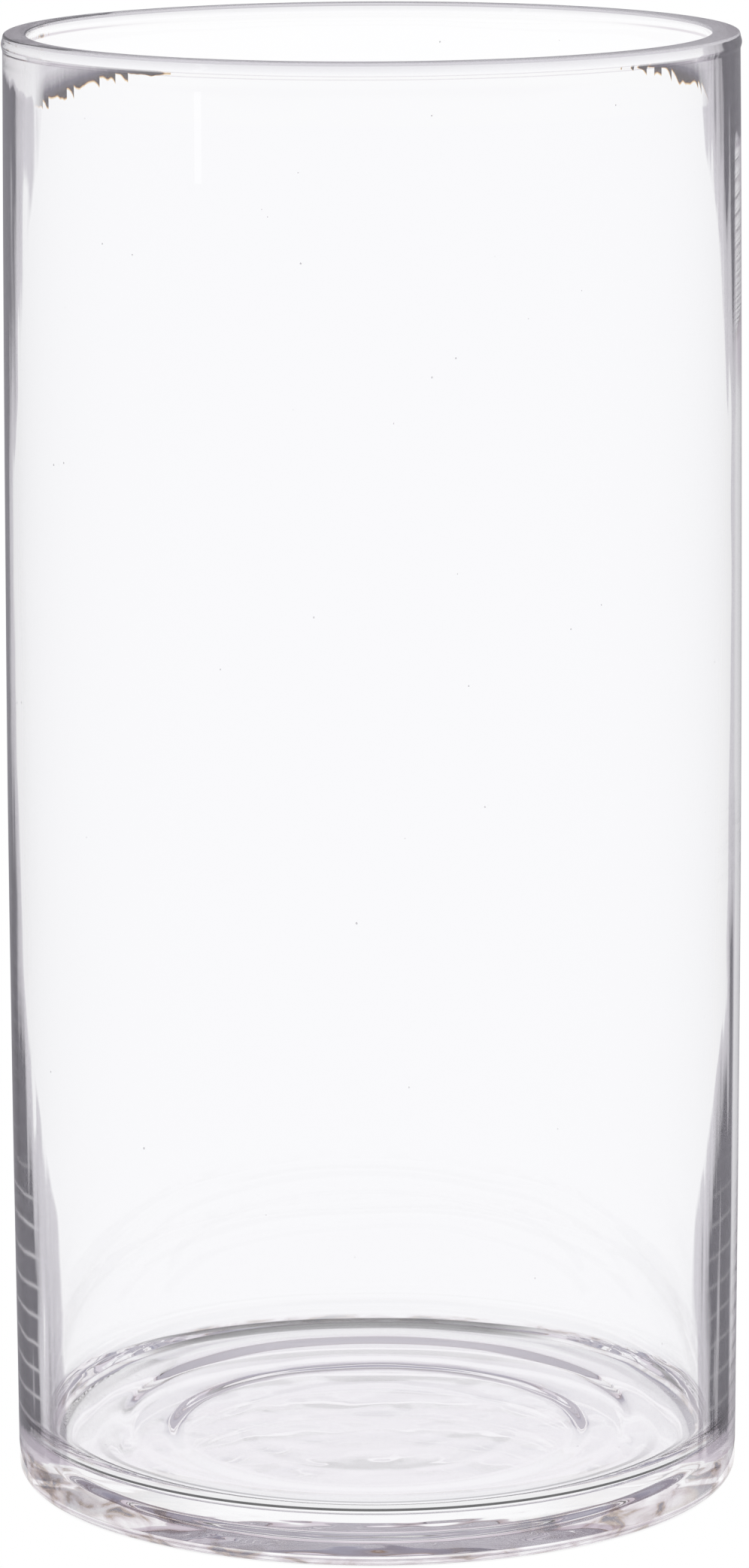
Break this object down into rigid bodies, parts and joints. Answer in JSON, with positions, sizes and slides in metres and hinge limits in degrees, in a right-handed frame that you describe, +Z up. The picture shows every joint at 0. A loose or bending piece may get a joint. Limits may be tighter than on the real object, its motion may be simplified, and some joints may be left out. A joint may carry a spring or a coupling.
{
  "type": "cylinder vase",
  "caption": "Tall clear glass cylinder vase, open at the top, with a flat rim, a thick base and a shallow recess under the foot.",
  "frame": {"origin": "centre of the foot, on the plane that the vase stands on", "axes": "+Z up, along the vessel's axis, towards the open rim; X and Y are arbitrary, because the vessel is round"},
  "size_m": [0.1534, 0.1534, 0.3048],
  "materials": {
    "clear_glass": "clear, smooth, fire-polished rim"
  },
  "bodies": {
    "root": {"glass_vessel": "clear_glass"}
  },
  "joints": []
}
